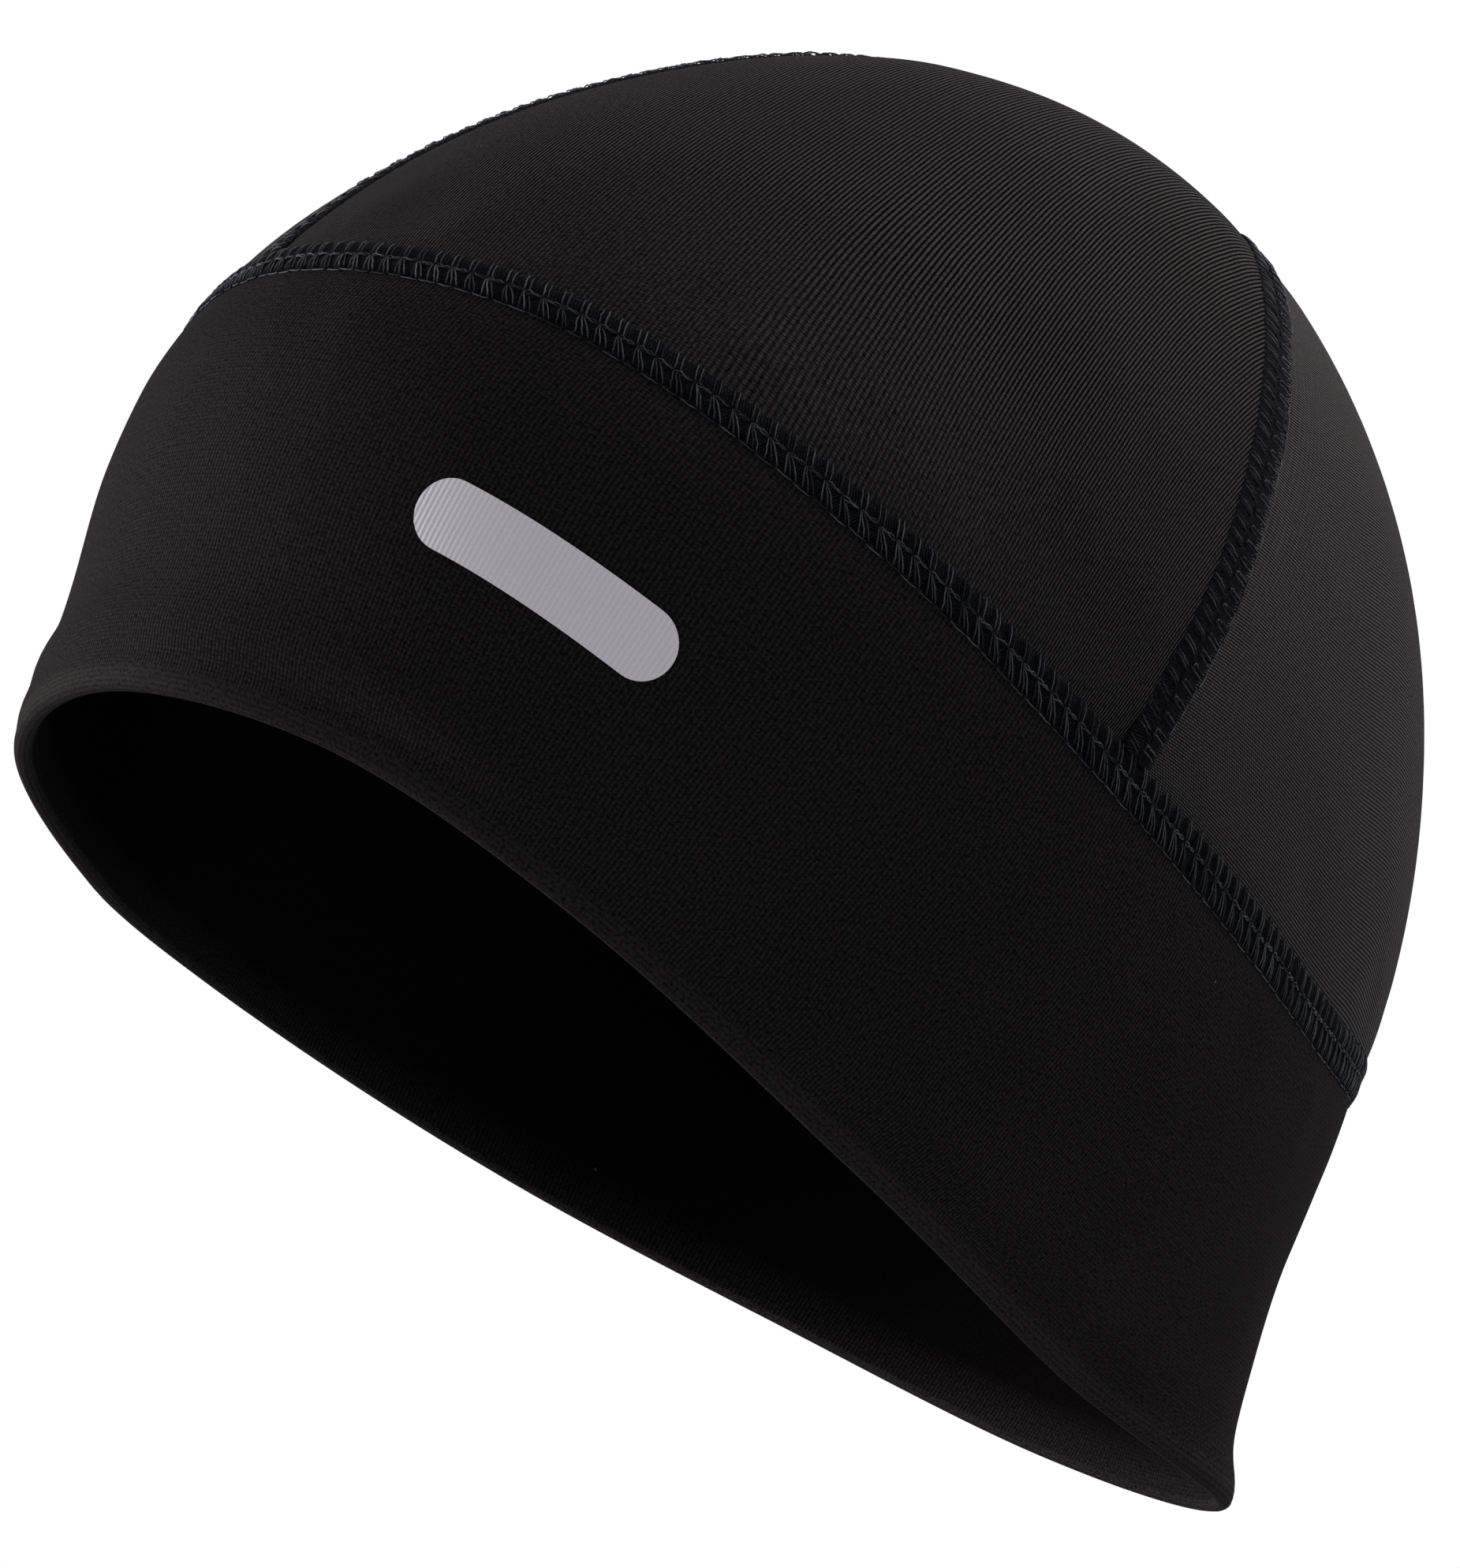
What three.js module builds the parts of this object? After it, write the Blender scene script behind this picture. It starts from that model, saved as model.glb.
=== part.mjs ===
// Helmet liner cap: a close-fitting stretch cap worn under a helmet.
// Millimetres, +Z up the crown, -Y to the front, +X to the wearer's left.
// The cap keeps the form that a head gives it. Its origin is on the inside of the crown's top,
// where the cap sits on the head. Heights in this file are measured up from the rim's level.
import * as THREE from 'three';

// Size of the cap over a head, measured on the outside of the cloth
const CROWN_HEIGHT = 134;
const HALF_WIDTH = 80;
const FRONT_REACH = 107;
const BACK_REACH = 94;
const CROWN_LEAN = 6;
// The cap sits a little turned: the head faces this many degrees to the right of its middle
const HEAD_TURN = 9;

// Cloth
const CROWN_WALL = 1.3;
const BAND_WALL = 2.2;

// Band, from the folded rim up to the seam that joins it to the crown
const BAND_HEIGHT = 53;
const RIM_WAVE = 8;
const RIM_FLARE = 10;
const FLARE_DEPTH = 12;
const RIDGE_HEIGHT = 8.5;
const RIDGE_SPREAD = 3.2;
const RIDGE_SWELL = 0.7;
const GROOVE_HEIGHT = 4;
const GROOVE_SPREAD = 1.8;
const GROOVE_DEPTH = 0.5;

// Flat seams: a strip of thread laid over two butted edges
const SEAM_WIDTH = 5.4;
const SEAM_STAND = 0.35;
const SEAM_INSIDE = 0.35;
const GAP = 0.3;

// Centre panel of the crown, between the two panel seams. The angles are from the cap's front.
const PANEL_HALF_TOP = 18;
const JOIN_FRONT_ANGLE = 40.6;
const JOIN_BACK_ANGLE = 132;

// Plain reflective bar printed on the front of the band
const BAR_LENGTH = 33;
const BAR_WIDTH = 8;
const BAR_THICKNESS = 0.4;
const BAR_ABOVE_RIM = 26.5;

// Facets
const AROUND = 72;

// The dome, from the rim level to the top of the crown. height is a share of CROWN_HEIGHT. The
// other columns say how full the section there is beside a plain half-ellipse dome of HALF_WIDTH,
// FRONT_REACH and BACK_REACH, and taper is how much narrower it gets towards the front.
const SECTIONS = [
  { height: 0.00, width: 0.83, front: 0.93, back: 0.92, taper: 0.145 },
  { height: 0.07, width: 0.90, front: 0.955, back: 0.94, taper: 0.143 },
  { height: 0.15, width: 0.96, front: 0.99, back: 0.965, taper: 0.125 },
  { height: 0.25, width: 1.00, front: 1.04, back: 1.00, taper: 0.055 },
  { height: 0.37, width: 1.03, front: 1.08, back: 1.06, taper: 0.010 },
  { height: 0.50, width: 1.06, front: 1.07, back: 1.10, taper: 0.010 },
  { height: 0.65, width: 1.08, front: 1.04, back: 1.135, taper: 0.030 },
  { height: 0.82, width: 1.11, front: 0.96, back: 1.12, taper: 0.030 },
  { height: 1.00, width: 1.12, front: 0.90, back: 1.04, taper: 0.015 },
];

// How the band changes from the front of the head's oval (0) to its back (180). rim is the height of the
// fold as a share of RIM_WAVE, band the height of the band as a share of BAND_HEIGHT, and flare
// how far the rim turns out as a share of RIM_FLARE.
const BAND_ROWS = [
  { oval: 0, rim: 0.97, band: 1.010, flare: -0.40 },
  { oval: 30, rim: 0.65, band: 0.995, flare: 0.20 },
  { oval: 60, rim: 0.20, band: 0.965, flare: 0.45 },
  { oval: 90, rim: 0.20, band: 0.935, flare: 0.25 },
  { oval: 120, rim: 0.72, band: 0.960, flare: 1.00 },
  { oval: 150, rim: 0.82, band: 1.030, flare: 0.40 },
  { oval: 180, rim: 0.95, band: 1.070, flare: 0.15 },
];

// The panel seam seen from above. along is the way from its front join to its back join, and
// narrow says how far the centre panel has come in from its ends to PANEL_HALF_TOP.
const PANEL_SEAM_ROWS = [
  { along: 0.00, narrow: 0.00 },
  { along: 0.08, narrow: 0.11 },
  { along: 0.16, narrow: 0.30 },
  { along: 0.25, narrow: 0.53 },
  { along: 0.34, narrow: 0.74 },
  { along: 0.43, narrow: 0.91 },
  { along: 0.53, narrow: 1.00 },
  { along: 0.64, narrow: 0.93 },
  { along: 0.76, narrow: 0.68 },
  { along: 0.89, narrow: 0.29 },
  { along: 1.00, narrow: 0.00 },
];

const radians = (angle) => (angle * Math.PI) / 180;
const degrees = (angle) => (angle * 180) / Math.PI;
const mix = (a, b, share) => a + (b - a) * share;

// Smooth curve through a column of a table, at a given value of its key column
function tableValue(rows, key, column, at) {
  const last = rows.length - 1;
  let i = 0;
  while (i < last - 1 && at > rows[i + 1][key]) i += 1;
  const slope = (k) => {
    const a = rows[Math.max(k - 1, 0)];
    const b = rows[Math.min(k + 1, last)];
    return (b[column] - a[column]) / (b[key] - a[key]);
  };
  const step = rows[i + 1][key] - rows[i][key];
  const t = Math.min(Math.max((at - rows[i][key]) / step, 0), 1);
  const startSlope = key === 'oval' && i === 0 ? 0 : slope(i);
  const endSlope = key === 'oval' && i === last - 1 ? 0 : slope(i + 1);
  const t2 = t * t;
  const t3 = t2 * t;
  return (2 * t3 - 3 * t2 + 1) * rows[i][column] + (t3 - 2 * t2 + t) * step * startSlope
    + (3 * t2 - 2 * t3) * rows[i + 1][column] + (t3 - t2) * step * endSlope;
}

// The size of a section of the dome at a height share, as a share of the widest size
function sectionShare(column, height) {
  const h = Math.min(Math.max(height, 0), 1);
  return tableValue(SECTIONS, 'height', column, h) * Math.sqrt(1 - h * h);
}

const taperAt = (height) => tableValue(SECTIONS, 'height', 'taper', height);

const reachTo = (ahead) => (ahead > 0 ? FRONT_REACH : BACK_REACH);

// The head's section is an oval. Its points are counted in degrees of a circle that is drawn out
// to that oval, from the front of the head, while angles on the cap are plain ones from its front.
function ovalAngle(angle) {
  const a = radians(angle + HEAD_TURN);
  return degrees(Math.atan2(Math.sin(a) / HALF_WIDTH, Math.cos(a) / reachTo(Math.cos(a))));
}

function angleOfOval(oval) {
  const a = radians(oval);
  return degrees(Math.atan2(HALF_WIDTH * Math.sin(a), reachTo(Math.cos(a)) * Math.cos(a))) - HEAD_TURN;
}

// The band is the same on both sides of the head
function bandValue(column, angle) {
  return tableValue(BAND_ROWS, 'oval', column, Math.abs(ovalAngle(angle)));
}

const rimHeight = (angle) => RIM_WAVE * bandValue('rim', angle);
const bandHeight = (angle) => BAND_HEIGHT * bandValue('band', angle);
const seamHeight = (angle) => rimHeight(angle) + bandHeight(angle);

const UP = new THREE.Vector3(0, 0, 1);

// Point of the outer surface at an angle from the cap's front and a height
function domePoint(angle, z) {
  const share = z / CROWN_HEIGHT;
  const a = radians(ovalAngle(angle));
  const c = Math.cos(a);
  const aboveRim = z - rimHeight(angle);
  const fade = Math.exp(-((Math.max(aboveRim, 0) / FLARE_DEPTH) ** 1.5));
  const flare = RIM_FLARE * bandValue('flare', angle) * fade;
  const bell = (height, spread) => Math.exp(-(((aboveRim - height) / spread) ** 2));
  const relief = RIDGE_SWELL * bell(RIDGE_HEIGHT, RIDGE_SPREAD)
    - GROOVE_DEPTH * bell(GROOVE_HEIGHT, GROOVE_SPREAD);
  const out = flare + relief;
  const halfWidth = HALF_WIDTH * sectionShare('width', share) + out;
  const reach = c > 0
    ? FRONT_REACH * sectionShare('front', share) + out
    : BACK_REACH * sectionShare('back', share) + out;
  return new THREE.Vector3(
    halfWidth * Math.sin(a) * (1 - taperAt(share) * c),
    -CROWN_LEAN * share - reach * c,
    z,
  ).applyAxisAngle(UP, -radians(HEAD_TURN));
}

// The two directions along the surface, and the outward normal
function domeFrame(angle, z) {
  const angleStep = 0.2;
  const heightStep = 0.05;
  const top = CROWN_HEIGHT - 2 * heightStep;
  const level = Math.min(z, top);
  const here = domePoint(angle, level);
  const byAngle = domePoint(angle + angleStep, level).sub(here).divideScalar(angleStep);
  const byHeight = domePoint(angle, level + heightStep).sub(here).divideScalar(heightStep);
  const normal = byAngle.clone().cross(byHeight).normalize();
  return { byAngle, byHeight, normal };
}

// A point on the surface by its place seen from above
function domeAbove(capX, capY) {
  const { x, y } = new THREE.Vector3(capX, capY, 0).applyAxisAngle(UP, radians(HEAD_TURN));
  let low = 0.2 * CROWN_HEIGHT;
  let high = CROWN_HEIGHT;
  let oval = 0;
  for (let i = 0; i < 44; i += 1) {
    const z = (low + high) / 2;
    const share = z / CROWN_HEIGHT;
    const ahead = -CROWN_LEAN * share - y;
    const reach = ahead > 0
      ? FRONT_REACH * sectionShare('front', share)
      : BACK_REACH * sectionShare('back', share);
    const c = ahead / reach;
    const narrowing = 1 - taperAt(share) * Math.min(Math.max(c, -1), 1);
    const s = x / (HALF_WIDTH * sectionShare('width', share) * narrowing);
    oval = degrees(Math.atan2(s, c));
    if (c * c + s * s < 1) low = z;
    else high = z;
  }
  return { angle: angleOfOval(oval), z: (low + high) / 2 };
}

// Moves a place on the surface by a distance at right angles to a line drawn on it
function stepAcross(place, along, distance) {
  const { byAngle, byHeight, normal } = domeFrame(place.angle, place.z);
  const across = normal.clone().cross(along).normalize().multiplyScalar(distance);
  const aa = byAngle.dot(byAngle);
  const ah = byAngle.dot(byHeight);
  const hh = byHeight.dot(byHeight);
  const ra = byAngle.dot(across);
  const rh = byHeight.dot(across);
  const det = aa * hh - ah * ah;
  return {
    angle: place.angle + (ra * hh - rh * ah) / det,
    z: place.z + (rh * aa - ra * ah) / det,
  };
}

// Height on the surface a distance up from another height, at the same angle
function heightUp(angle, z, distance) {
  return z + distance / domeFrame(angle, z).byHeight.length();
}

function offPoint(place, offset) {
  const point = domePoint(place.angle, place.z);
  return point.addScaledVector(domeFrame(place.angle, place.z).normal, offset);
}

// Collects points and faces, and shares the points that fall together
class Shell {
  constructor() {
    this.points = [];
    this.faces = [];
    this.known = new Map();
  }

  add(point) {
    const key = point.toArray().map((v) => Math.round(v * 1000)).join();
    if (!this.known.has(key)) {
      this.known.set(key, this.points.length);
      this.points.push(point);
    }
    return this.known.get(key);
  }

  triangle(a, b, c) {
    if (a !== b && b !== c && c !== a) this.faces.push(a, b, c);
  }

  quad(a, b, c, d) {
    this.triangle(a, b, c);
    this.triangle(a, c, d);
  }

  geometry() {
    const geometry = new THREE.BufferGeometry();
    const flat = this.points.flatMap((p) => p.toArray());
    geometry.setAttribute('position', new THREE.Float32BufferAttribute(flat, 3));
    geometry.setIndex(this.faces);
    geometry.computeVertexNormals();
    return geometry;
  }
}

// A patch of cloth: a grid of places on the surface, given a wall between two offsets.
// places[i][j] runs to the left of the line i, seen from outside.
function clothPatch(places, outside, inside) {
  const shell = new Shell();
  const outer = places.map((row) => row.map((place) => shell.add(offPoint(place, outside))));
  const inner = places.map((row) => row.map((place) => shell.add(offPoint(place, inside))));
  const rows = places.length - 1;
  const columns = places[0].length - 1;
  for (let i = 0; i < rows; i += 1) {
    for (let j = 0; j < columns; j += 1) {
      shell.quad(outer[i][j], outer[i + 1][j], outer[i + 1][j + 1], outer[i][j + 1]);
      shell.quad(inner[i][j], inner[i][j + 1], inner[i + 1][j + 1], inner[i + 1][j]);
    }
    shell.quad(outer[i][0], inner[i][0], inner[i + 1][0], outer[i + 1][0]);
    shell.quad(outer[i][columns], outer[i + 1][columns], inner[i + 1][columns], inner[i][columns]);
  }
  for (let j = 0; j < columns; j += 1) {
    shell.quad(outer[0][j], outer[0][j + 1], inner[0][j + 1], inner[0][j]);
    shell.quad(outer[rows][j], inner[rows][j], inner[rows][j + 1], outer[rows][j + 1]);
  }
  return shell.geometry();
}

// A ring of cloth or thread: one closed profile at each angle round the cap
function clothRing(profileAt) {
  const shell = new Shell();
  const rings = [];
  for (let i = 0; i < AROUND; i += 1) {
    rings.push(profileAt((360 * i) / AROUND).map((point) => shell.add(point)));
  }
  rings.forEach((ring, i) => {
    const next = rings[(i + 1) % AROUND];
    ring.forEach((point, k) => {
      const after = (k + 1) % ring.length;
      shell.quad(point, next[k], next[after], ring[after]);
    });
  });
  return shell.geometry();
}

const seamEdge = SEAM_WIDTH / 2;
const clothEdge = SEAM_WIDTH / 2 + GAP;

// Band of doubled cloth: up its inside, over the top edge, down its outside, round the fold
function bandProfile(angle) {
  const rim = rimHeight(angle);
  const top = heightUp(angle, seamHeight(angle), -clothEdge);
  const foldRadius = BAND_WALL / 2;
  const foldTop = heightUp(angle, rim, foldRadius);
  const levels = [1, 0.86, 0.72, 0.58, 0.45, 0.33, 0.24, 0.17, 0.11, 0.065, 0.03, 0];
  const outer = levels.map((share) => offPoint({ angle, z: mix(foldTop, top, share) }, 0));
  const innerLevels = [0, 0.08, 0.2, 0.4, 0.6, 0.8, 1];
  const inner = innerLevels.map((share) => offPoint({ angle, z: mix(foldTop, top, share) }, -BAND_WALL));
  const { byHeight, normal } = domeFrame(angle, foldTop);
  const up = byHeight.clone().normalize();
  const centre = domePoint(angle, foldTop).addScaledVector(normal, -foldRadius);
  const fold = [0.25, 0.5, 0.75].map((share) => {
    const turn = Math.PI * share;
    return centre.clone()
      .addScaledVector(normal, foldRadius * Math.cos(turn))
      .addScaledVector(up, -foldRadius * Math.sin(turn));
  });
  return [...outer, ...fold, ...inner].reverse();
}

// Strip section, with its long edges eased, from its lower edge to its upper edge
function stripPoints(lower, upper, wall) {
  const ease = 0.22;
  const between = (share) => ({
    angle: mix(lower.angle, upper.angle, share),
    z: mix(lower.z, upper.z, share),
  });
  const outside = SEAM_STAND;
  const inside = -wall - SEAM_INSIDE;
  return [
    offPoint(lower, mix(outside, inside, 0.3)),
    offPoint(lower, mix(outside, inside, 0.7)),
    offPoint(between(ease), inside),
    offPoint(between(1 - ease), inside),
    offPoint(upper, mix(outside, inside, 0.7)),
    offPoint(upper, mix(outside, inside, 0.3)),
    offPoint(between(1 - ease), outside),
    offPoint(between(ease), outside),
  ];
}

function bandSeamProfile(angle) {
  const middle = seamHeight(angle);
  const lower = { angle, z: heightUp(angle, middle, -seamEdge) };
  const upper = { angle, z: heightUp(angle, middle, seamEdge) };
  return stripPoints(lower, upper, CROWN_WALL).reverse();
}

// Panel seam of one side, as places on the surface from its front join to its back join.
// side is 1 on the wearer's left and -1 on the right. The line is carried on past both joins,
// so that its ends can be cut to the band seam.
function panelSeamPlaces(side, count) {
  const joinPlace = (angle) => ({ angle: side * angle, z: seamHeight(side * angle) });
  const ends = [joinPlace(JOIN_FRONT_ANGLE), joinPlace(JOIN_BACK_ANGLE)];
  const [front, back] = ends.map((place) => domePoint(place.angle, place.z));
  const places = [];
  for (let i = 0; i <= count; i += 1) {
    const along = (1 - Math.cos((Math.PI * i) / count)) / 2;
    const narrow = tableValue(PANEL_SEAM_ROWS, 'along', 'narrow', along);
    const x = mix(mix(front.x, back.x, along), side * PANEL_HALF_TOP, narrow);
    places.push(domeAbove(x, mix(front.y, back.y, along)));
  }
  const below = ends.map((place) => ({ angle: place.angle, z: place.z - SEAM_WIDTH }));
  return [below[0], ...places, below[1]];
}

// The same line moved sideways on the surface, to the left as seen from outside
function movedLine(places, distance) {
  return places.map((place, i) => {
    const before = places[Math.max(i - 1, 0)];
    const after = places[Math.min(i + 1, places.length - 1)];
    const along = domePoint(after.angle, after.z).sub(domePoint(before.angle, before.z));
    return stepAcross(place, along, distance);
  });
}

// Cuts a line off where it meets the upper edge of the band seam, at both ends
function cutAtBandSeam(places, count) {
  const over = (place) => place.z - heightUp(place.angle, seamHeight(place.angle), clothEdge);
  const at = (share) => {
    const t = share * (places.length - 1);
    const i = Math.min(Math.floor(t), places.length - 2);
    return {
      angle: mix(places[i].angle, places[i + 1].angle, t - i),
      z: mix(places[i].z, places[i + 1].z, t - i),
    };
  };
  const findEnd = (from, to) => {
    let outer = from;
    let inner = to;
    for (let i = 0; i < 40; i += 1) {
      const middle = (outer + inner) / 2;
      if (over(at(middle)) > 0) inner = middle;
      else outer = middle;
    }
    return inner;
  };
  const first = findEnd(0, 0.5);
  const last = findEnd(1, 0.5);
  return Array.from({ length: count + 1 }, (_, i) => at(mix(first, last, i / count)));
}

const seamLines = { 1: panelSeamPlaces(1, 120), [-1]: panelSeamPlaces(-1, 120) };

// A line beside a side's panel seam: a distance towards the middle of the cap, in some steps
function besideSeam(side, distance, steps) {
  return cutAtBandSeam(movedLine(seamLines[side], side * distance), steps);
}

// Patches are laid from the wearer's right to the left, so on the right their lines are turned
const rightToLeft = (side, lines) => (side > 0 ? lines : lines.slice().reverse());

function panelSeamPatch(side) {
  const steps = 40;
  const lines = [seamEdge, seamEdge / 2, 0, -seamEdge / 2, -seamEdge]
    .map((distance) => besideSeam(side, distance, steps));
  return clothPatch(rightToLeft(side, lines), SEAM_STAND, -CROWN_WALL - SEAM_INSIDE);
}

// Side panel: lines from the panel seam's outer edge down to the band seam
function sidePanel(side) {
  const steps = 34;
  const drop = 8;
  const upper = besideSeam(side, -clothEdge, steps);
  const lines = [];
  for (let k = 0; k <= drop; k += 1) {
    lines.push(upper.map((place, i) => {
      const angle = mix(upper[0].angle, upper[steps].angle, i / steps);
      const low = { angle, z: heightUp(angle, seamHeight(angle), clothEdge) };
      return {
        angle: mix(place.angle, low.angle, k / drop),
        z: mix(place.z, low.z, k / drop),
      };
    }));
  }
  return clothPatch(rightToLeft(side, lines), 0, -CROWN_WALL);
}

// The x of an edge of the centre panel at a given y
function edgeAt(edge, y) {
  const last = edge.length - 1;
  if (y <= edge[0].y) return edge[0].x;
  if (y >= edge[last].y) return edge[last].x;
  const i = edge.findIndex((point) => point.y > y);
  const share = (y - edge[i - 1].y) / (edge[i].y - edge[i - 1].y);
  return mix(edge[i - 1].x, edge[i].x, share);
}

// Centre panel: lines from the front of the band seam over the crown to its back
function centrePanel() {
  const across = 20;
  const along = 36;
  const [right, left] = [-1, 1].map((side) => besideSeam(side, clothEdge, 80)
    .map((place) => domePoint(place.angle, place.z)));
  const lines = [];
  for (let j = 0; j <= across; j += 1) {
    const q = j / across;
    const placeAt = (y) => domeAbove(mix(edgeAt(right, y), edgeAt(left, y), q), y);
    const overSeam = (y) => {
      const place = placeAt(y);
      return place.z - heightUp(place.angle, seamHeight(place.angle), clothEdge);
    };
    const findEnd = (outside, within) => {
      let outer = outside;
      let inner = within;
      for (let i = 0; i < 34; i += 1) {
        const middle = (outer + inner) / 2;
        if (overSeam(middle) > 0) inner = middle;
        else outer = middle;
      }
      return inner;
    };
    const edge = [right, null, left][1 + Math.sign(j - across) + Math.sign(j)];
    const front = edge ? edge[0].y : findEnd(-FRONT_REACH - CROWN_LEAN, -CROWN_LEAN);
    const back = edge ? edge[edge.length - 1].y : findEnd(BACK_REACH + CROWN_LEAN, -CROWN_LEAN);
    lines.push(Array.from({ length: along + 1 }, (_, i) => {
      const share = (1 - Math.cos((Math.PI * i) / along)) / 2;
      return placeAt(mix(front, back, share));
    }));
  }
  return clothPatch(lines, 0, -CROWN_WALL);
}

// Plain bar with round ends, printed on the band parallel to the rim
function reflectiveBar() {
  const steps = 20;
  const rowsUp = 4;
  const half = BAR_LENGTH / 2;
  const endRadius = BAR_WIDTH / 2;
  const middle = rimHeight(0) + BAR_ABOVE_RIM;
  const aroundStep = domeFrame(0, middle).byAngle.length();
  const upStep = 1 / domeFrame(0, middle).byHeight.length();
  const lines = [];
  for (let k = 0; k <= rowsUp; k += 1) {
    const up = 1 - (2 * k) / rowsUp;
    const cut = endRadius * (1 - Math.sqrt(1 - (up * 0.98) ** 2));
    lines.push(Array.from({ length: steps + 1 }, (_, i) => {
      const reach = (half - cut) * ((2 * i) / steps - 1);
      const angle = reach / aroundStep;
      return { angle, z: rimHeight(angle) + BAR_ABOVE_RIM + up * endRadius * upStep };
    }));
  }
  return clothPatch(lines, GAP + BAR_THICKNESS, GAP);
}

const fabric = (color) => new THREE.MeshStandardMaterial({ color, roughness: 0.85, metalness: 0 });
const BAND_COLOUR = 0x2a282b;
const CROWN_COLOUR = 0x2c2b2d;
const THREAD_COLOUR = 0x20222c;
const BAR_COLOUR = 0x9a9aa2;

// The inside of the crown's top is at the origin
const crownTop = domePoint(0, CROWN_HEIGHT);
const cap = new THREE.Group();
cap.position.set(-crownTop.x, -crownTop.y, CROWN_WALL - CROWN_HEIGHT);

function addPiece(name, geometry, material) {
  const mesh = new THREE.Mesh(geometry, material);
  mesh.name = name;
  cap.add(mesh);
}

addPiece('band', clothRing(bandProfile), fabric(BAND_COLOUR));
addPiece('crown_centre', centrePanel(), fabric(CROWN_COLOUR));
addPiece('crown_side_left', sidePanel(1), fabric(CROWN_COLOUR));
addPiece('crown_side_right', sidePanel(-1), fabric(CROWN_COLOUR));
addPiece('band_seam', clothRing(bandSeamProfile), fabric(THREAD_COLOUR));
addPiece('panel_seam_left', panelSeamPatch(1), fabric(THREAD_COLOUR));
addPiece('panel_seam_right', panelSeamPatch(-1), fabric(THREAD_COLOUR));
addPiece('reflective_bar', reflectiveBar(), new THREE.MeshStandardMaterial({
  color: BAR_COLOUR,
  roughness: 0.5,
  metalness: 0.1,
}));

export default cap;
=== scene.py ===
import math

import bpy
import numpy as np
from mathutils import Matrix, Vector


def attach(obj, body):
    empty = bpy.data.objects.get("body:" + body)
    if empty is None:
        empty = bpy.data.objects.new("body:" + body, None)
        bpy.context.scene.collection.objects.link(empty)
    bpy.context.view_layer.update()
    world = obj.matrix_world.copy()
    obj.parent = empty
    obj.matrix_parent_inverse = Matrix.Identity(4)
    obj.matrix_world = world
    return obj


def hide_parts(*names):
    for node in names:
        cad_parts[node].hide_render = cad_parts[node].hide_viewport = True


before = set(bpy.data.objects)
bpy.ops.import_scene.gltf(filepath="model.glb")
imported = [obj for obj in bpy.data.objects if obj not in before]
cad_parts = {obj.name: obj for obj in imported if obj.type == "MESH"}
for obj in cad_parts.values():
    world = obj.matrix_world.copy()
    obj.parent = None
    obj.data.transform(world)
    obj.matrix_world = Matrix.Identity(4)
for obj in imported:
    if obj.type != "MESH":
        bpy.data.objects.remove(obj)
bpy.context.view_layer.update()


# The form of the head
# The cap is limp cloth, and a head that isn't shown gives it this form. Lengths are in
# millimetres, but the flat sizes that cloth was cut to, the depth of bumps and the places of
# the floor and the lamps are in metres. Heights are measured up from the rim's level, and
# angles in degrees from the cap's front. The tables of the form hold shares of the sizes
# above them.
MM = 0.001
CROWN_HEIGHT = 134.0
HALF_WIDTH = 80.0
FRONT_REACH = 107.0
BACK_REACH = 94.0
CROWN_LEAN = 6.0
HEAD_TURN = 9.0
CROWN_WALL = 1.3
SECTIONS = [
    dict(height=0.00, width=0.83, front=0.93, back=0.92, taper=0.145),
    dict(height=0.07, width=0.90, front=0.955, back=0.94, taper=0.143),
    dict(height=0.15, width=0.96, front=0.99, back=0.965, taper=0.125),
    dict(height=0.25, width=1.00, front=1.04, back=1.00, taper=0.055),
    dict(height=0.37, width=1.03, front=1.08, back=1.06, taper=0.010),
    dict(height=0.50, width=1.06, front=1.07, back=1.10, taper=0.010),
    dict(height=0.65, width=1.08, front=1.04, back=1.135, taper=0.030),
    dict(height=0.82, width=1.11, front=0.96, back=1.12, taper=0.030),
    dict(height=1.00, width=1.12, front=0.90, back=1.04, taper=0.015),
]
BAND_HEIGHT = 53.0
RIM_WAVE = 8.0
RIM_FLARE = 10.0
FLARE_DEPTH = 12.0
FLARE_FADE = 1.5
BAND_ROWS = [
    dict(oval=0, rim=0.97, band=1.010, flare=-0.40),
    dict(oval=30, rim=0.65, band=0.995, flare=0.20),
    dict(oval=60, rim=0.20, band=0.965, flare=0.45),
    dict(oval=90, rim=0.20, band=0.935, flare=0.25),
    dict(oval=120, rim=0.72, band=0.960, flare=1.00),
    dict(oval=150, rim=0.82, band=1.030, flare=0.40),
    dict(oval=180, rim=0.95, band=1.070, flare=0.15),
]
# Steps over which slopes and normals are measured, and how near the top they are read
SLOPE_STEP = 0.05
NORMAL_STEP = 0.2
TOP_GAP = 0.1


def column(rows, key, name, at):
    """A smooth curve through one column of a table, read at values of its key column."""
    keys = np.array([row[key] for row in rows], float)
    values = np.array([row[name] for row in rows], float)
    slopes = np.gradient(values, keys)
    slopes[1:-1] = (values[2:] - values[:-2]) / (keys[2:] - keys[:-2])
    if key == "oval":
        slopes[[0, -1]] = 0
    i = np.clip(np.searchsorted(keys, at, side="right") - 1, 0, len(keys) - 2)
    step = keys[i + 1] - keys[i]
    t = np.clip((at - keys[i]) / step, 0, 1)
    rise = t * t * (3 - 2 * t)
    leave = t * (1 - t) ** 2
    arrive = t * t * (t - 1)
    ends = values[i] * (1 - rise) + values[i + 1] * rise
    return ends + step * (leave * slopes[i] + arrive * slopes[i + 1])


def section(name, share):
    """How far a section of the dome reaches, as a share of the cap's size."""
    share = np.clip(share, 0, 1)
    return column(SECTIONS, "height", name, share) * np.sqrt(1 - share**2)


def turned(x, y, angle):
    """Coordinates after a turn about the upright axis."""
    c, s = math.cos(math.radians(angle)), math.sin(math.radians(angle))
    return x * c - y * s, x * s + y * c


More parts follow.
